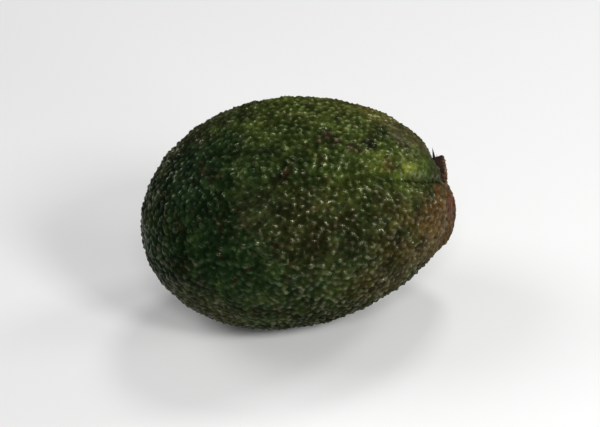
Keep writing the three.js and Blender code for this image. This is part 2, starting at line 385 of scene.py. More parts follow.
# Name, azimuth, elevation, distance, size across and watts.
SOFTBOXES = [
    ("key_light", 20, 35, 0.9, 0.22, 3.6),
    ("front_light", -20, 40, 0.9, 0.22, 2.1),
    ("low_light", 20, 10, 0.9, 0.22, 1.8),
    ("right_light", 60, 12, 0.9, 0.22, 2.4),
    ("side_light", 100, 35, 0.9, 0.22, 1.8),
    ("back_light", 140, 60, 0.9, 0.22, 1.9),
    ("rim_light", 235, 40, 1.1, 0.7, 4.6),
]


# ---- Sizes and colours ----


def length(name, description, default):
    return FloatProperty(
        name=name, description=description, default=default, min=0, precision=5, unit="LENGTH"
    )


def colour(name, description, default):
    return FloatVectorProperty(
        name=name, description=description, default=default, min=0, max=1, size=3, subtype="COLOR"
    )


class AvocadoSizes(PropertyGroup):
    """The sizes of the fruit, its pebbles and its stem button."""

    length: length("Length", "Along the fruit, over the pebbles", 100.6 * MM)
    width: length("Width", "Across the fruit, over the pebbles", 72.1 * MM)
    height: length("Height", "From bottom to top, over the pebbles", 71.3 * MM)
    pebble_spacing: length("Pebble Spacing", "Least distance between two pebbles", 2.1 * MM)
    pebble_reach: length("Pebble Reach", "From a pebble's top to its foot", 1.28 * MM)
    pebble_height: length("Pebble Height", "From the valleys to the highest tops", 1.3 * MM)
    pebble_wander: length("Pebble Wander", "How far the pebbles' outlines stray", 1.1 * MM)
    pebble_tilt: FloatProperty(
        name="Pebble Tilt", description="How far the tops lean, each its own way", default=1.3, min=0
    )
    lump_height: length("Lump Height", "How far broad lumps rise and sink", 1.2 * MM)
    pebble_seed: IntProperty(name="Pebble Seed", description="Picks another spread", default=7)
    button_radius: length("Button Radius", "At the widest part of the stem button", 4.5 * MM)
    button_rise: length("Button Rise", "From the bottom of the dimple to the rim", 2.9 * MM)
    button_root: length("Button Root", "How deep the button is sunk in the skin", 1.7 * MM)
    bark_relief: length("Bark Relief", "Depth of the fibres on the stem button", 0.16 * MM)


class AvocadoColours(PropertyGroup):
    """The colours of the skin, the stem button and the floor."""

    deep_green: colour("Deep Green", "The dark blossom half", (0.006, 0.0155, 0.0045))
    leaf_green: colour("Leaf Green", "The middle of the fruit", (0.0145, 0.021, 0.0045))
    fresh_green: colour("Fresh Green", "The stem half", (0.033, 0.047, 0.0065))
    # Lit Top Green is painted light: the top of the fruit is painted lighter where light falls from
    # above.
    lit_top_green: colour("Top Green", "The top of the fruit", (0.077, 0.104, 0.018))
    # Shade Green is painted shade on the lower side, and the colour of one dark patch.
    shade_green: colour("Shade Green", "The lower side", (0.0135, 0.0165, 0.005))
    bright_green: colour("Bright Green", "The ridge by the stem", (0.045, 0.065, 0.008))
    stain: colour("Stain", "Near-black stains", (0.006, 0.007, 0.003))
    yellow_green: colour("Yellow Green", "Light spots on the ridge", (0.098, 0.11, 0.016))
    # Grey Green and Grey Brown are also painted sheen along the outline of the blossom half.
    grey_green: colour("Grey Green", "Smooth dull patches", (0.06, 0.058, 0.022))
    # Lit Top Olive is the olive skin of the top towards the stem, painted lighter as painted light.
    lit_top_olive: colour("Top Olive", "The top towards the stem", (0.125, 0.115, 0.026))
    shoulder_olive: colour("Shoulder Olive", "Above the stem", (0.074, 0.065, 0.023))
    grey_brown: colour("Grey Brown", "The skin round the stem", (0.05, 0.042, 0.019))
    umber: colour("Umber", "Brown mottling", (0.02, 0.0125, 0.006))
    blue_green: colour("Blue Green", "Cold mottling", (0.01, 0.022, 0.012))
    # Olive Brown is browner skin; its darkness below also stands in as painted shade.
    olive_brown: colour("Olive Brown", "Below the crease", (0.03, 0.0225, 0.0055))
    russet: colour("Russet", "Corky skin on the stem lobe", (0.08, 0.041, 0.0135))
    red_brown: colour("Red Brown", "The blush on the stem lobe", (0.1, 0.028, 0.015))
    scar_brown: colour("Scar Brown", "Scars and rubbed pebbles", (0.045, 0.028, 0.014))
    pore_tan: colour("Pore Tan", "Small pale pores", (0.2, 0.19, 0.08))
    bark_light: colour("Light Bark", "The rim and raised fibres", (0.16, 0.1, 0.06))
    bark_brown: colour("Brown Bark", "The side and the face", (0.055, 0.026, 0.013))
    # Dark Bark paints the cracks, and painted shade on the neck under the rim.
    bark_dark: colour("Dark Bark", "Cracks and the neck", (0.013, 0.006, 0.0035))
    floor: colour("Floor", "The pale floor", (0.84, 0.84, 0.83))


# ---- Form ----


def direction_of(place):
    """The direction of a place as a unit vector whose +X is the stem pole."""
    from_pole, turn = (math.radians(angle) for angle in place)
    across = math.sin(from_pole)
    return np.array([[math.cos(from_pole), across * math.sin(turn), across * math.cos(turn)]])


def egg_points(directions, sizes):
    """Points of the egg that the fruit is drawn from."""
    x, y, z = directions.T
    girth = 1 - STEM_END_TAPER * x - END_SLIMMING * x**2
    sag = np.where(x > 0, STEM_END_SAG, BLOSSOM_END_SAG) * x**2
    return np.column_stack(
        (
            sizes.length / 2 * x,
            sizes.width / 2 * girth * y,
            sizes.height / 2 * girth * z - sag,
        )
    )


def outwards(directions, sizes):
    """Unit vectors that point out of the egg."""
    away = directions / (sizes.length, sizes.width, sizes.height)
    return away / np.linalg.norm(away, axis=1, keepdims=True)


def bell(distance, radius):
    """1 in the middle, fading like a bell round the radius."""
    return np.exp(-((distance / radius) ** 2))


def smoothstep(value, low, high):
    """Smoothly from 0 at low to 1 at high."""
    share = np.clip((value - low) / (high - low), 0, 1)
    return share * share * (3 - 2 * share)


def distance_to(points, place, sizes):
    """How far points of the egg are from a place on it."""
    return np.linalg.norm(points - egg_points(direction_of(place), sizes), axis=1)


def fold_share(points, fold, sizes):
    """How much of a fold's depth is felt at each point, from 0 to 1."""
    first, last, _, half_width = fold
    start = egg_points(direction_of(first), sizes)[0]
    run = egg_points(direction_of(last), sizes)[0] - start
    up = (outwards(direction_of(first), sizes) + outwards(direction_of(last), sizes))[0]
    across = np.cross(up, run)
    across /= np.linalg.norm(across)
    away = points - start
    share = away @ run / (run @ run)
    window = smoothstep(share, *FOLD_FADE_IN) * (1 - smoothstep(share, *FOLD_FADE_OUT))
    own_side = away @ up / np.linalg.norm(up) > -sizes.length / 4
    return own_side * window * bell(away @ across, half_width)


def form_points(directions, sizes):
    """Points over the tops of the pebbles, before the stem end droops."""
    points = egg_points(directions, sizes)
    rise = np.zeros(len(points))
    for place, height, radius in SWELLS:
        rise += height * bell(distance_to(points, place, sizes), radius)
    for fold in FOLDS + CREASES:
        depth = fold[2]
        rise -= depth * fold_share(points, fold, sizes)
    for height, turns, phase in LUMPS:
        rise += height * np.sin(2 * (points @ np.array(turns)) / sizes.length + phase)
    return points + outwards(directions, sizes) * rise[:, None]


def relief_share(directions, sizes):
    """How much of their height the pebbles keep at each point."""
    points = egg_points(directions, sizes)
    share = np.ones(len(points))
    for place, lost, radius in SMOOTH_PATCHES:
        share *= 1 - lost * bell(distance_to(points, place, sizes), radius)
    for fold in FOLDS:
        share *= 1 - FOLD_SMOOTH_SHARE * fold_share(points, fold, sizes)
    return share


def cube_sphere():
    """A cube cut into even squares, with the direction of each corner from its middle."""
    ball = bmesh.new()
    bmesh.ops.create_cube(ball, size=2)
    bmesh.ops.subdivide_edges(ball, edges=ball.edges[:], cuts=SKIN_CUTS, use_grid_fill=True)
    mesh = bpy.data.meshes.new("smooth_skin")
    ball.to_mesh(mesh)
    ball.free()
    corners = np.empty(3 * len(mesh.vertices), np.float32)
    mesh.vertices.foreach_get("co", corners)
    directions = np.tan(corners.reshape(-1, 3).astype(float) * math.pi / 4)
    directions /= np.linalg.norm(directions, axis=1, keepdims=True)
    return mesh, directions


def in_frame(points):
    """Where points of the form lie in the frame, turned so that the stem end hangs lower."""
    droop = np.array(Matrix.Rotation(STEM_END_DROOP, 3, "Y"))
    return points @ droop.T + FORM_MIDDLE


def place_in_frame(place, sizes):
    """Where a place of the skin lies in the frame, as a tuple for a node's input."""
    return tuple(in_frame(form_points(direction_of(place), sizes))[0])


def check_against_solid(points):
    """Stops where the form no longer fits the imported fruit."""
    low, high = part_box("fruit")
    reach = np.array([points.min(axis=0), points.max(axis=0)])
    packed = np.array([[low.x, low.y], [high.x, high.y]])
    beside = np.abs(reach[:, :2] - packed).max()
    above = abs(reach[1, 2] - high.z)
    if max(beside, above) > SOLID_FIT:
        raise RuntimeError("the fruit's form doesn't fit the packed solid")


# ---- Node helpers ----


def wire(tree, socket, value):
    """Sets an input to a value, or links it to another node's output."""
    if isinstance(value, bpy.types.NodeSocket):
        tree.links.new(value, socket)
    else:
        socket.default_value = value


def wire_all(tree, node, values):
    """Sets or links a node's inputs, which go by name or number."""
    for key, value in values.items():
        wire(tree, node.inputs[key], value)


def add(tree, kind, inputs=(), **settings):
    """A new node with its settings, and its inputs set or linked."""
    node = tree.nodes.new(kind)
    for setting, value in settings.items():
        setattr(node, setting, value)
    wire_all(tree, node, dict(inputs))
    return node


def maths(tree, operation, *values):
    return add(tree, "ShaderNodeMath", enumerate(values), operation=operation).outputs[0]


def times(tree, first, *factors):
    """The product of all the numbers."""
    for factor in factors:
        first = maths(tree, "MULTIPLY", first, factor)
    return first


def plus(tree, first, second):
    return maths(tree, "ADD", first, second)


def minus(tree, first, second):
    return maths(tree, "SUBTRACT", first, second)


def vectors(tree, operation, *values):
    node = add(tree, "ShaderNodeVectorMath", enumerate(values), operation=operation)
    return node.outputs["Value" if operation in {"DISTANCE", "DOT_PRODUCT"} else "Vector"]


def scaled(tree, vector, factor):
    return add(tree, "ShaderNodeVectorMath", {0: vector, 3: factor}, operation="SCALE").outputs[0]


def ramp(tree, value, low, high, to_low=0.0, to_high=1.0):
    """Smoothly from to_low at low to to_high at high."""
    inputs = {0: value, 1: low, 2: high, 3: to_low, 4: to_high}
    return add(tree, "ShaderNodeMapRange", inputs, interpolation_type="SMOOTHSTEP").outputs[0]


def noise(tree, at, size, detail=2.0, roughness=0.5, output=0):
    """Noise from about 0 to 1, whose features are about this size across."""
    inputs = {"Vector": at, "Scale": 1 / size, "Detail": detail, "Roughness": roughness}
    return add(tree, "ShaderNodeTexNoise", inputs).outputs[output]


def about_zero(tree, at, size, detail):
    """Noise from about -0.5 to 0.5."""
    return minus(tree, noise(tree, at, size, detail=detail), 0.5)


def blend(tree, share, under, over):
    """Colour under, covered by colour over to a share."""
    inputs = {0: share, 6: under, 7: over}
    return add(tree, "ShaderNodeMix", inputs, data_type="RGBA").outputs[2]


def bump(tree, height, depth, strength, **over):
    """A normal bent by a height, over another bent normal where one is given."""
    inputs = {"Strength": strength, "Distance": depth, "Height": height, **over}
    return add(tree, "ShaderNodeBump", inputs).outputs[0]


def mesh_value(tree, name):
    """A number stored on the mesh, for a material."""
    return add(tree, "ShaderNodeAttribute", attribute_name=name).outputs["Fac"]


def opaque(rgb):
    return (*rgb, 1.0)


def new_material(name):
    """A new material, its node tree and its shader."""
    material = bpy.data.materials.new(name)
    material.use_nodes = True
    tree = material.node_tree
    return material, tree, tree.nodes["Principled BSDF"]


def put_in_scene(name, data):
    """A new object that holds this mesh, light or camera."""
    made = bpy.data.objects.new(name, data)
    bpy.context.scene.collection.objects.link(made)
    return made


# ---- Pebbled skin ----


def add_sockets(tree):
    """Gives the pebble tree its named inputs and its output."""
    sockets = tree.interface
    sockets.new_socket("Geometry", in_out="INPUT", socket_type="NodeSocketGeometry")
    for name in ("Spacing", "Reach", "Height", "Wander", "Tilt", "Lump Height", "Rest Height"):
        sockets.new_socket(name, in_out="INPUT", socket_type="NodeSocketFloat")
    sockets.new_socket("Seed", in_out="INPUT", socket_type="NodeSocketInt")
    sockets.new_socket("Material", in_out="INPUT", socket_type="NodeSocketMaterial")
    sockets.new_socket("Geometry", in_out="OUTPUT", socket_type="NodeSocketGeometry")


def domes(tree, given, asked, shares, seed):
    """Domes round scattered tops, each tilted its own way, and a draw for each dome."""
    spacing, reach, flatness = shares
    spread = add(
        tree,
        "GeometryNodeDistributePointsOnFaces",
        {
            "Mesh": given["Geometry"],
            "Distance Min": times(tree, given["Spacing"], spacing),
            "Density Max": MOST_PEBBLES,
            "Seed": seed,
        },
        distribute_method="POISSON",
    )
    nearest = add(
        tree,
        "GeometryNodeProximity",
        {"Geometry": spread.outputs["Points"], "Sample Position": asked},
        target_element="POINTS",
    )
    top = nearest.outputs["Position"]
    draw = add(tree, "ShaderNodeTexWhiteNoise", {"Vector": top}).outputs
    again = scaled(tree, top, SECOND_DRAW)
    other = add(tree, "ShaderNodeTexWhiteNoise", {"Vector": again}).outputs[0]
    reach = times(tree, given["Reach"], reach, ramp(tree, draw[0], 0.0, 1.0, *REACH_SPREAD))
    away = maths(tree, "MINIMUM", maths(tree, "DIVIDE", nearest.outputs[1], reach), 1.0)
    dome = minus(tree, 1.0, maths(tree, "POWER", away, flatness))
    dome = times(tree, dome, ramp(tree, other, 0.0, 1.0, *HEIGHT_SPREAD))
    lean = vectors(tree, "SUBTRACT", draw[1], (0.5, 0.5, 0.5))
    offset = vectors(tree, "SUBTRACT", asked, top)
    offset = scaled(tree, offset, maths(tree, "DIVIDE", 1.0, reach))
    tilt = times(tree, vectors(tree, "DOT_PRODUCT", lean, offset), given["Tilt"])
    return plus(tree, dome, times(tree, tilt, dome)), draw[0]


def pebble_relief(tree, given, here):
    """How high the skin stands at each point, as a share of a pebble, and the pebble's draw."""
    stray = noise(tree, here, WANDER_SIZE, detail=1.5, output=1)
    stray = vectors(tree, "SUBTRACT", stray, (0.5, 0.5, 0.5))
    asked = vectors(tree, "ADD", here, scaled(tree, stray, given["Wander"]))
    large, pick = domes(tree, given, asked, LARGE_PEBBLES, given["Seed"])
    small, _ = domes(tree, given, asked, SMALL_PEBBLES, plus(tree, given["Seed"], 1.0))
    small = times(tree, small, SMALL_PEBBLE_HEIGHT)
    pebble = maths(tree, "SMOOTH_MAX", large, small, PEBBLE_BLEND)
    for size, share in UNEVENNESS:
        pebble = plus(tree, pebble, times(tree, about_zero(tree, here, size, 1.0), share))
    pebble = add(tree, "ShaderNodeClamp", {0: pebble, 1: 0.0, 2: HIGHEST_PEBBLE}).outputs[0]
    inputs = {0: pebble, "Iterations": 1, "Weight": PEBBLE_SOFTNESS}
    return add(tree, "GeometryNodeBlurAttribute", inputs).outputs[0], pick


def kept_on_mesh(tree, geometry, name, value):
    """The geometry with a number stored at each of its points."""
    return add(
        tree,
        "GeometryNodeStoreNamedAttribute",
        {"Geometry": geometry, "Name": name, "Value": value},
        data_type="FLOAT",
        domain="POINT",
    ).outputs[0]


def read_from_mesh(tree, name):
    """A number stored on the mesh, for geometry nodes."""
    inputs = {"Name": name}
    return add(tree, "GeometryNodeInputNamedAttribute", inputs, data_type="FLOAT").outputs[0]


def pebble_tree():
    """Geometry nodes that raise irregular pebbles over the whole skin."""
    tree = bpy.data.node_groups.new("Pebbled Skin", "GeometryNodeTree")
    add_sockets(tree)
    given = tree.nodes.new("NodeGroupInput").outputs
    here = add(tree, "GeometryNodeInputPosition").outputs[0]
    pebble, pick = pebble_relief(tree, given, here)
    made = kept_on_mesh(tree, given["Geometry"], "pebble", pebble)
    made = kept_on_mesh(tree, made, "pick", pick)
    rise = minus(tree, read_from_mesh(tree, "pebble"), FORM_LEVEL)
    rise = times(tree, rise, read_from_mesh(tree, "relief"), given["Height"])
    lump = about_zero(tree, here, LUMP_SIZE, 1.5)
    rise = plus(tree, rise, times(tree, lump, given["Lump Height"]))
    normal = add(tree, "GeometryNodeInputNormal").outputs[0]
    raised = vectors(tree, "ADD", here, scaled(tree, normal, rise))
    x, y, z = add(tree, "ShaderNodeSeparateXYZ", {0: raised}).outputs
    resting = maths(tree, "MAXIMUM", z, given["Rest Height"])
    there = add(tree, "ShaderNodeCombineXYZ", {0: x, 1: y, 2: resting}).outputs[0]
    for kind, inputs in (
        ("GeometryNodeSetPosition", {"Position": there}),
        ("GeometryNodeSetShadeSmooth", {}),
        ("GeometryNodeRealizeInstances", {}),
        ("GeometryNodeSetMaterial", {"Material": given["Material"]}),
    ):
        made = add(tree, kind, {"Geometry": made, **inputs}).outputs[0]
    wire(tree, tree.nodes.new("NodeGroupOutput").inputs[0], made)
    return tree


def set_inputs(modifier, values):
    """Sets a geometry nodes modifier's inputs by their sockets' identifiers."""
    for item in modifier.node_group.interface.items_tree:
        if item.in_out == "INPUT" and item.name in values:
            modifier[item.identifier] = values[item.name]


def made_plain(source, name):
    """A plain mesh object of what the modifiers make, in place of the source."""
    graph = bpy.context.evaluated_depsgraph_get()
    mesh = bpy.data.meshes.new_from_object(source.evaluated_get(graph), depsgraph=graph)
    mesh.name = name
    bpy.data.objects.remove(source)
    return put_in_scene(name, mesh)


# ---- The skin's paint and gloss ----


def near(skin, place, radius, soft=0.5, rag=1.0):
    """1 at a place, fading to 0 round its radius along a ragged edge."""
    tree = skin.tree
    far = vectors(tree, "DISTANCE", skin.at, place_in_frame(place, skin.sizes))
    far = plus(tree, far, times(tree, skin.stray, rag * 2 * radius))
    return ramp(tree, far, radius * (1 - soft), radius * (1 + soft), 1.0, 0.0)


def covered(skin, paint, share, name, strength=1.0):
    """The paint under a named colour, at this share of the strength."""
    over = opaque(getattr(skin.colours, name))
    return blend(skin.tree, times(skin.tree, share, strength), paint, over)


def skin_patterns(tree, sizes, colours):
    """The numbers and noises that the skin's paint and gloss are made from."""
    at = add(tree, "ShaderNodeTexCoord").outputs["Object"]
    along, _, up = add(tree, "ShaderNodeSeparateXYZ", {0: at}).outputs
    pebble = minus(tree, mesh_value(tree, "pebble"), PAINT_LEVEL)
    pebble = times(tree, pebble, mesh_value(tree, "relief"))
    broken = ramp(tree, noise(tree, at, 1.8 * MM, detail=3), 0.35, 0.55, 0.35, 1.0)
    broad = noise(tree, at, 17 * MM, detail=3)
    drifted = plus(tree, along, times(tree, minus(tree, broad, 0.5), GREENS_DRIFT))
    skin = SimpleNamespace(
        tree=tree,
        sizes=sizes,
        colours=colours,
        at=at,
        along=along,
        drifted=drifted,
        up=up,
        pebble=plus(tree, pebble, PAINT_LEVEL),
        pick=mesh_value(tree, "pick"),
        crease=times(tree, mesh_value(tree, "crease"), broken),
        broad=broad,
        patchy=noise(tree, at, 5.5 * MM, detail=4, roughness=0.6),
        speckled=noise(tree, at, 1.2 * MM, detail=3, roughness=0.65),
        stray=minus(tree, noise(tree, at, 3 * MM, detail=5, roughness=0.65), 0.5),
        # top marks the top that is painted lighter as painted light; lower marks the browner lower
        # side, also darkened as painted shade.
        top=times(tree, ramp(tree, up, *TOP_HEIGHTS), ramp(tree, drifted, *TOP_RUN)),
        lower=times(tree, ramp(tree, up, *LOWER_HEIGHTS), ramp(tree, drifted, *LOWER_RUN)),
    )
    skin.corky = near(skin, CORKY_PLACE, CORKY_RADIUS)
    return skin


def skin_greens(skin):
    """Greens from the dark blossom end to the light stem end, with painted light on the top, browner
    skin and painted shade below, and patches, some of them painted sheen along the outline.
    """
    tree = skin.tree
    leafy = ramp(tree, skin.drifted, *LEAFY_RUN)
    paint = blend(tree, leafy, opaque(skin.colours.deep_green), opaque(skin.colours.leaf_green))
    paint = covered(skin, paint, ramp(tree, skin.drifted, *FRESH_RUN), "fresh_green", 0.5)
    # Painted light: the top is painted a lighter green where light falls from above.
    paint = covered(skin, paint, skin.top, "lit_top_green", 0.85)
    # Browner skin on the lower side, kept dark as painted shade too.
    paint = covered(skin, paint, skin.lower, "olive_brown", 0.6)
    # Painted shade: Shade Green darkens the lower side.
    paint = covered(skin, paint, ramp(tree, skin.up, *SHADE_HEIGHTS), "shade_green", 0.75)
    for place, radius, name, strength in PATCHES:
        paint = covered(skin, paint, near(skin, place, radius), name, strength)
    return paint


def with_streaks(skin, paint):
    """The paint with light streaks across the ridge and a russet one."""
    tree = skin.tree
    stretched = {"Vector": skin.at, "Scale": STREAK_STRETCH}
    streaky = add(tree, "ShaderNodeMapping", stretched).outputs[0]
    streak = ramp(tree, noise(tree, streaky, STREAK_WIDTH, detail=2), 0.55, 0.7)
    streak = times(tree, streak, near(skin, STREAKY_PLACE, STREAKY_RADIUS))
    paint = covered(skin, paint, streak, "yellow_green", 0.5)
    russet = near(skin, RUSSET_STREAK_PLACE, RUSSET_STREAK_RADIUS)
    return covered(skin, paint, russet, "russet", 0.45)


def with_marks(skin, paint):
    """The paint with mottling, stains, scars and a few rubbed pebbles."""
    tree = skin.tree
    living = minus(tree, 1.0, times(tree, skin.corky, 0.5))
    for size, low, high, name, strength in MOTTLING:
        patch = ramp(tree, noise(tree, skin.at, size, detail=3, roughness=0.6), low, high)
        paint = covered(skin, paint, times(tree, patch, living), name, strength)
    stains = [(place, radius, "stain", strength) for place, radius, strength in STAINS]
    scars = [(place, radius, "scar_brown", strength) for place, radius, strength in SCARS]
    for place, radius, name, strength in LATE_PATCHES + stains + scars:
        paint = covered(skin, paint, near(skin, place, radius), name, strength)
    rubbed = times(tree, ramp(tree, skin.pick, 0.93, 0.97), ramp(tree, skin.pebble, 0.4, 0.8))
    return covered(skin, paint, rubbed, "scar_brown", 0.5)


def factors(skin, rows):
    """The factor that each row's pattern of the skin gives."""
    return [ramp(skin.tree, getattr(skin, name), *bounds) for name, *bounds in rows]


def skin_brightness(skin):
    """Uneven at random, lighter on the tops, with painted shade near black in the valleys and the
    crease, and darker on the lower side.
    """
    tree = skin.tree
    # Painted shade: deeper darkening of the valleys on the top.
    painted_valley_shade = times(tree, ramp(tree, skin.pebble, 0.35, 0.8, 0.45, 0.0), skin.top)
    return times(tree, *factors(skin, BRIGHTNESS), minus(tree, 1.0, painted_valley_shade))


def with_pores(skin, paint):
    """The paint with a few small pale pores on the tops."""
    tree = skin.tree
    inputs = {"Vector": skin.at, "Scale": 1 / PORE_SPACING}
    pores = add(tree, "ShaderNodeTexVoronoi", inputs, feature="F1").outputs["Distance"]
    pore = times(tree, ramp(tree, pores, 0.05, 0.13, 1.0, 0.0), ramp(tree, skin.pebble, 0.5, 0.8))
    return covered(skin, paint, pore, "pore_tan", 0.35)


def skin_roughness(skin):
    """Smooth wax on the tops, rougher in the valleys and on russet skin."""
    tree = skin.tree
    rough = ramp(tree, skin.pebble, 0.4, 0.8, 0.5, 0.2)
    rough = plus(tree, rough, ramp(tree, skin.speckled, 0.3, 0.7, -0.04, 0.07))
    return plus(tree, rough, times(tree, skin.corky, 0.1))


def skin_wax(skin):
    """How much the skin reflects: most on some tops, little in valleys and on dull patches."""
    tree = skin.tree
    waxed = times(tree, maths(tree, "POWER", skin.pick, 2.0), *factors(skin, WAX))
    waxed = times(tree, plus(tree, waxed, LEAST_WAX), *factors(skin, GLOSS))
    waxed = times(tree, waxed, minus(tree, 1.0, skin.crease))
    slant = add(tree, "ShaderNodeLayerWeight", {"Blend": 0.5}).outputs["Facing"]
    bloom = times(tree, *factors(skin, BLOOM))
    waxed = times(tree, waxed, ramp(tree, slant, 0.3, 0.85, 1.0, bloom))
    for place, lost, radius in DULL_PATCHES:
        dull = near(skin, place, radius, soft=0.8, rag=0.3)
        waxed = times(tree, waxed, ramp(tree, dull, 0.0, 1.0, 1.0, 1 - lost))
    return waxed


def skin_material(sizes, colours):
    """Waxy skin: greens that lighten towards the stem, russet on the stem lobe, painted shade
    darkening the valleys.
    """
    material, tree, shader = new_material("Avocado Skin")
    skin = skin_patterns(tree, sizes, colours)
    paint = with_marks(skin, with_streaks(skin, skin_greens(skin)))
    paint = with_pores(skin, scaled(tree, paint, skin_brightness(skin)))
    # Fine lumps and grain that the mesh is too coarse for.
    lumps = bump(tree, noise(tree, skin.at, 0.75 * MM), 0.08 * MM, 1.0)
    grain = bump(tree, noise(tree, skin.at, 0.16 * MM), 0.02 * MM, 0.5, Normal=lumps)
    wire_all(
        tree,
        shader,
        {
            "Base Color": paint,
            "Roughness": skin_roughness(skin),
            "Specular IOR Level": skin_wax(skin),
            "IOR": 1.45,
            "Specular Tint": WAX_TINT,
            "Sheen Weight": 0.02,
            "Sheen Roughness": 0.35,
            "Sheen Tint": SHEEN_TINT,
            "Normal": grain,
        },
    )
    return material


def build_skin(sizes, colours):
    """The fruit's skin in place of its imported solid."""
    mesh, directions = cube_sphere()
    points = in_frame(form_points(directions, sizes))
    check_against_solid(points)
    mesh.vertices.foreach_set("co", points.astype(np.float32).ravel())
    egg = egg_points(directions, sizes)
    # The crease line, which the paint darkens as painted shade.
    creases = np.max([fold_share(egg, crease, sizes) for crease in CREASES], axis=0)
    for name, values in (("relief", relief_share(directions, sizes)), ("crease", creases)):
        attribute = mesh.attributes.new(name, "FLOAT", "POINT")
        attribute.data.foreach_set("value", values.astype(np.float32))
    mesh.update()
    smooth_skin = put_in_scene("smooth_skin", mesh)
    modifier = smooth_skin.modifiers.new("Pebbles", "NODES")
    modifier.node_group = pebble_tree()
    set_inputs(
        modifier,
        {
            "Spacing": sizes.pebble_spacing,
            "Reach": sizes.pebble_reach,
            "Height": sizes.pebble_height,
            "Wander": sizes.pebble_wander,
            "Tilt": sizes.pebble_tilt,
            "Lump Height": sizes.lump_height,
            "Rest Height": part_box("fruit")[0].z,
            "Seed": sizes.pebble_seed,
            "Material": skin_material(sizes, colours),
        },
    )
    skin = made_plain(smooth_skin, "fruit_skin")
    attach(skin, "root")
    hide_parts("fruit")


# ---- Stem button ----


def relief_at_stem(sizes):
    """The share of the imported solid's pebble height at the stem."""
    stem = egg_points(direction_of(STEM_PLACE), sizes)
    ridge_share = bell(distance_to(stem, RIDGE_PLACE, sizes), SOLID_RIDGE_RADIUS)[0]
    return (1 - SOLID_STEM_SMOOTHING) * (1 - SOLID_RIDGE_SMOOTHING * ridge_share)


def button_matrix(sizes):
    """From the button's own frame, whose +X is its axis, to where it stands in the frame."""
    stand = direction_of(STEM_PLACE)
    sunk = SOLID_PEBBLE_SINK * relief_at_stem(sizes)
    foot = form_points(stand, sizes) - outwards(stand, sizes) * sunk
    foot = Vector(in_frame(foot)[0])
    axis = Vector(direction_of(BUTTON_AXIS)[0])
    lean = Vector((1, 0, 0)).rotation_difference(axis).to_matrix().to_4x4()
    droop = Matrix.Rotation(STEM_END_DROOP, 4, "Y")
    return Matrix.Translation(foot) @ droop @ lean


def outline_point(share):
    """A point of the button's outline, share of the way from root to face."""
    place = share * (len(BUTTON_OUTLINE) - 1)
    index = min(int(place), len(BUTTON_OUTLINE) - 2)
    first, last = BUTTON_OUTLINE[index], BUTTON_OUTLINE[index + 1]
    part = place - index
    return tuple(a + (b - a) * part for a, b in zip(first, last))


def bark_material(colours):
    """Dry, torn bark: pale fibres, dark cracks, and painted shade on the neck under the rim."""
    material, tree, shader = new_material("Stem Bark")
    at = add(tree, "ShaderNodeTexCoord").outputs["Object"]
    patches = noise(tree, at, 1.6 * MM, detail=4, roughness=0.6)
    fibres = noise(tree, at, 0.35 * MM, detail=3, roughness=0.6)
    outward = mesh_value(tree, "outward")
    wandering = plus(tree, outward, ramp(tree, patches, 0.3, 0.7, -0.15, 0.15))
    rim = ramp(tree, wandering, 0.5, 0.8)
    paint = blend(tree, rim, opaque(colours.bark_brown), opaque(colours.bark_light))
    raised = plus(tree, mesh_value(tree, "raised"), minus(tree, fibres, 0.5))
    dark = minus(tree, 1.0, ramp(tree, raised, 0.25, 0.8))
    # Painted shade: dark where the outward value is low, on the neck under the rim, which also
    # darkens the middle of the face.
    neck = ramp(tree, wandering, 0.55, 0.3)
    rot = ramp(tree, noise(tree, at, 1.1 * MM), 0.5, 0.6)
    for share in (neck, rot):
        dark = maths(tree, "MAXIMUM", dark, share)
    paint = blend(tree, times(tree, dark, 0.85), paint, opaque(colours.bark_dark))
    wire_all(
        tree,
        shader,
        {
            "Base Color": paint,
            "Roughness": 0.82,
            "IOR": 1.4,
            "Specular IOR Level": 0.25,
            "Normal": bump(tree, fibres, 0.08 * MM, 0.8),
        },
    )
    return material


def fractal(x, y, z, octaves):
    """Noise about 0 at a place, with this many finer layers."""
    return waves.fractal(Vector((x, y, z)), FRACTAL_FALL, FRACTAL_STEP, octaves)


def join_rings(shape, lower, upper):
    """Faces between two rings of corners: triangles where one ring is a single corner."""
    count = max(len(lower), len(upper))
    for column in range(count):
        following = (column + 1) % count
        corners = (
            lower[column % len(lower)],
            lower[following % len(lower)],
            upper[following % len(upper)],
            upper[column % len(upper)],
        )
        shape.faces.new(list(dict.fromkeys(corners)))


def add_sliver(shape, raised, outward, matrix, sliver):
    """A pointed, ribbed sliver that stands off the button's neck."""
    tip, radius, rise, turn_deg, curl = sliver
    turn = math.radians(turn_deg)
    away = Vector((0, math.sin(turn), math.cos(turn)))
    aside = Vector((0, math.cos(turn), -math.sin(turn)))
    rings = []
    for ring in range(SLIVER_RINGS):
        share = ring / (SLIVER_RINGS - 1)
        middle = away * (SLIVER_FOOT + (tip - SLIVER_FOOT) * share)
        middle.x = rise + curl * share**2
        taper = max(SLIVER_TIP_SHARE, 1 - share)
        corners = []
        for side in range(SLIVER_SIDES):
            angle = 2 * math.pi * side / SLIVER_SIDES
            beside, above = math.cos(angle), math.sin(angle)
            rib = fractal(beside * SLIVER_RIBS, above * SLIVER_RIBS, share * 2 + turn_deg, 3)
            thick = radius * taper * (1 + SLIVER_RIB_DEPTH * rib)
            offset = Vector((SLIVER_FLATNESS * thick * above, 0, 0))
            offset += aside * (thick * beside)
            corner = shape.verts.new(matrix @ (middle + offset))
            corner[raised] = 0.45 + 0.6 * rib
            corner[outward] = 0.5
            corners.append(corner)
        rings.append(corners)
    for lower, upper in zip(rings, rings[1:]):
        join_rings(shape, lower, upper)
    shape.faces.new(rings[-1])


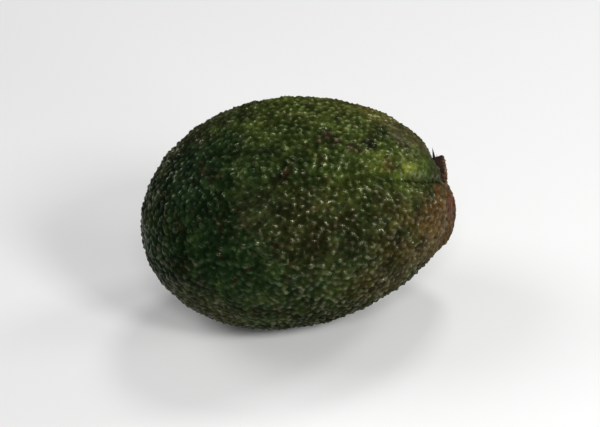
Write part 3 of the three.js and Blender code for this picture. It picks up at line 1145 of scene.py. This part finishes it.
def button_corner(sizes, out, rise, turn):
    """A point of the button in its own frame, and how far its bark is raised there."""
    across, aside = math.cos(turn), math.sin(turn)
    chips = sum(share * math.sin(count * turn + phase) for share, count, phase in BUTTON_CHIPS)
    radius = sizes.button_radius * out * (1 + chips)
    height = rise * (sizes.button_rise if rise > 0 else sizes.button_root)
    fibre = fractal(across * FIBRES, aside * FIBRES, height / MM * 0.5, 4)
    crack = fractal(across * CRACKS + 5, aside * CRACKS, out * 1.5, 5)
    bark = fibre * FIBRE_SHARE + crack * CRACK_SHARE
    radius += sizes.bark_relief * bark * min(1, out * 1.5)
    if rise > BUTTON_FACE_FROM:
        height += sizes.bark_relief * bark * BUTTON_FACE_RELIEF
    return Vector((height, -radius * across, radius * aside)), bark


def build_button(sizes, colours):
    """The dried stem button with its slivers of torn bark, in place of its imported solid."""
    shape = bmesh.new()
    raised = shape.verts.layers.float.new("raised")
    outward = shape.verts.layers.float.new("outward")
    matrix = button_matrix(sizes)
    rings = []
    for row in range(BUTTON_ROWS + 1):
        out, rise = outline_point(row / BUTTON_ROWS)
        columns = 1 if out == 0 else BUTTON_COLUMNS
        ring = []
        for column in range(columns):
            point, bark = button_corner(sizes, out, rise, 2 * math.pi * column / columns)
            corner = shape.verts.new(matrix @ point)
            corner[raised] = 0.5 + 0.5 * bark
            corner[outward] = out * max(rise, 0)
            ring.append(corner)
        rings.append(ring)
    for lower, upper in zip(rings, rings[1:]):
        join_rings(shape, lower, upper)
    for sliver in SLIVERS:
        add_sliver(shape, raised, outward, matrix, sliver)
    bmesh.ops.recalc_face_normals(shape, faces=shape.faces[:])
    for face in shape.faces:
        face.smooth = True
    mesh = bpy.data.meshes.new("stem_button_bark")
    shape.to_mesh(mesh)
    shape.free()
    mesh.materials.append(bark_material(colours))
    button = put_in_scene("stem_button_bark", mesh)
    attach(button, "root")
    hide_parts("stem_button")


# ---- Stage ----


def aimed(name, data, aim, azimuth, elevation, distance):
    """A light or camera that looks at a point from a distance."""
    turn, lift = math.radians(azimuth), math.radians(elevation)
    flat = math.cos(lift)
    back = Vector((math.sin(turn) * flat, -math.cos(turn) * flat, math.sin(lift)))
    holder = put_in_scene(name, data)
    holder.location = aim + back * distance
    holder.rotation_euler = back.to_track_quat("Z", "Y").to_euler()
    return holder


def floor_material(colours):
    """A pale, dull floor with a hint of unevenness."""
    material, tree, shader = new_material("Pale Floor")
    at = add(tree, "ShaderNodeTexCoord").outputs["Object"]
    tone = ramp(tree, noise(tree, at, 0.4), 0.3, 0.7, 0.97, 1.0)
    paint = blend(tree, tone, (0, 0, 0, 1), opaque(colours.floor))
    wire_all(tree, shader, {"Base Color": paint, "Roughness": 0.9})
    return material


def build_floor(colours):
    """The pale floor under the fruit."""
    half = FLOOR_HALF
    corners = [(-half, -half, 0), (half, -half, 0), (half, half, 0), (-half, half, 0)]
    ground = bpy.data.meshes.new("floor")
    ground.from_pydata(corners, [], [(0, 1, 2, 3)])
    ground.materials.append(floor_material(colours))
    floor = put_in_scene("floor", ground)


def build_lights():
    """A dim, cool room and the soft lights."""
    world = bpy.data.worlds.new("Studio")
    world.use_nodes = True
    background = world.node_tree.nodes["Background"]
    wire_all(world.node_tree, background, {"Color": ROOM_COLOUR, "Strength": ROOM_STRENGTH})
    bpy.context.scene.world = world
    for name, azimuth, elevation, distance, size, watts in SOFTBOXES:
        light = bpy.data.lights.new(name, "AREA")
        light.shape = "SQUARE"
        light.size = size
        light.energy = watts
        aimed(name, light, LIGHTS_AIM, azimuth, elevation, distance)


def build_camera():
    """The camera, from above and towards the stem end."""
    camera = bpy.data.cameras.new("camera")
    camera.sensor_width = SENSOR_WIDTH_MM
    camera.lens = VIEW_LENS_MM
    camera.clip_start, camera.clip_end = VIEW_CLIP
    holder = aimed("camera", camera, VIEW_AIM, VIEW_AZIMUTH, VIEW_ELEVATION, VIEW_DISTANCE)
    bpy.context.scene.camera = holder


def build_stage(colours):
    """Pale floor, soft lights and the camera."""
    bpy.context.scene.view_settings.view_transform = "Standard"
    build_floor(colours)
    build_lights()
    build_camera()


# ---- Operators and panel ----


class AVOCADO_OT_skin(Operator):
    """Builds the pebbled skin of the fruit"""

    bl_idname = "avocado.skin"
    bl_label = "Build Skin"

    def execute(self, context):
        build_skin(context.scene.avocado_sizes, context.scene.avocado_colours)
        return {"FINISHED"}


class AVOCADO_OT_button(Operator):
    """Builds the dried stem button"""

    bl_idname = "avocado.button"
    bl_label = "Build Stem Button"

    def execute(self, context):
        build_button(context.scene.avocado_sizes, context.scene.avocado_colours)
        return {"FINISHED"}


class AVOCADO_OT_stage(Operator):
    """Builds the floor, the lights and the camera"""

    bl_idname = "avocado.stage"
    bl_label = "Build Stage"

    def execute(self, context):
        build_stage(context.scene.avocado_colours)
        return {"FINISHED"}


class AVOCADO_PT_panel(Panel):
    """Sizes, colours and build buttons"""

    bl_idname = "AVOCADO_PT_panel"
    bl_label = "Avocado"
    bl_space_type = "VIEW_3D"
    bl_region_type = "UI"
    bl_category = "Avocado"

    def draw(self, context):
        layout = self.layout
        for group in (context.scene.avocado_sizes, context.scene.avocado_colours):
            column = layout.column(align=True)
            for name in group.__annotations__:
                column.prop(group, name)
        for operator in (AVOCADO_OT_skin, AVOCADO_OT_button, AVOCADO_OT_stage):
            layout.operator(operator.bl_idname)


CLASSES = (
    AvocadoSizes,
    AvocadoColours,
    AVOCADO_OT_skin,
    AVOCADO_OT_button,
    AVOCADO_OT_stage,
    AVOCADO_PT_panel,
)


def register():
    for each in CLASSES:
        bpy.utils.register_class(each)
    bpy.types.Scene.avocado_sizes = PointerProperty(type=AvocadoSizes)
    bpy.types.Scene.avocado_colours = PointerProperty(type=AvocadoColours)


def unregister():
    del bpy.types.Scene.avocado_colours
    del bpy.types.Scene.avocado_sizes
    for each in reversed(CLASSES):
        bpy.utils.unregister_class(each)


def main():
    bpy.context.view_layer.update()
    register()
    bpy.ops.avocado.skin()
    bpy.ops.avocado.button()
    bpy.ops.avocado.stage()


if __name__ == "__main__":
    main()
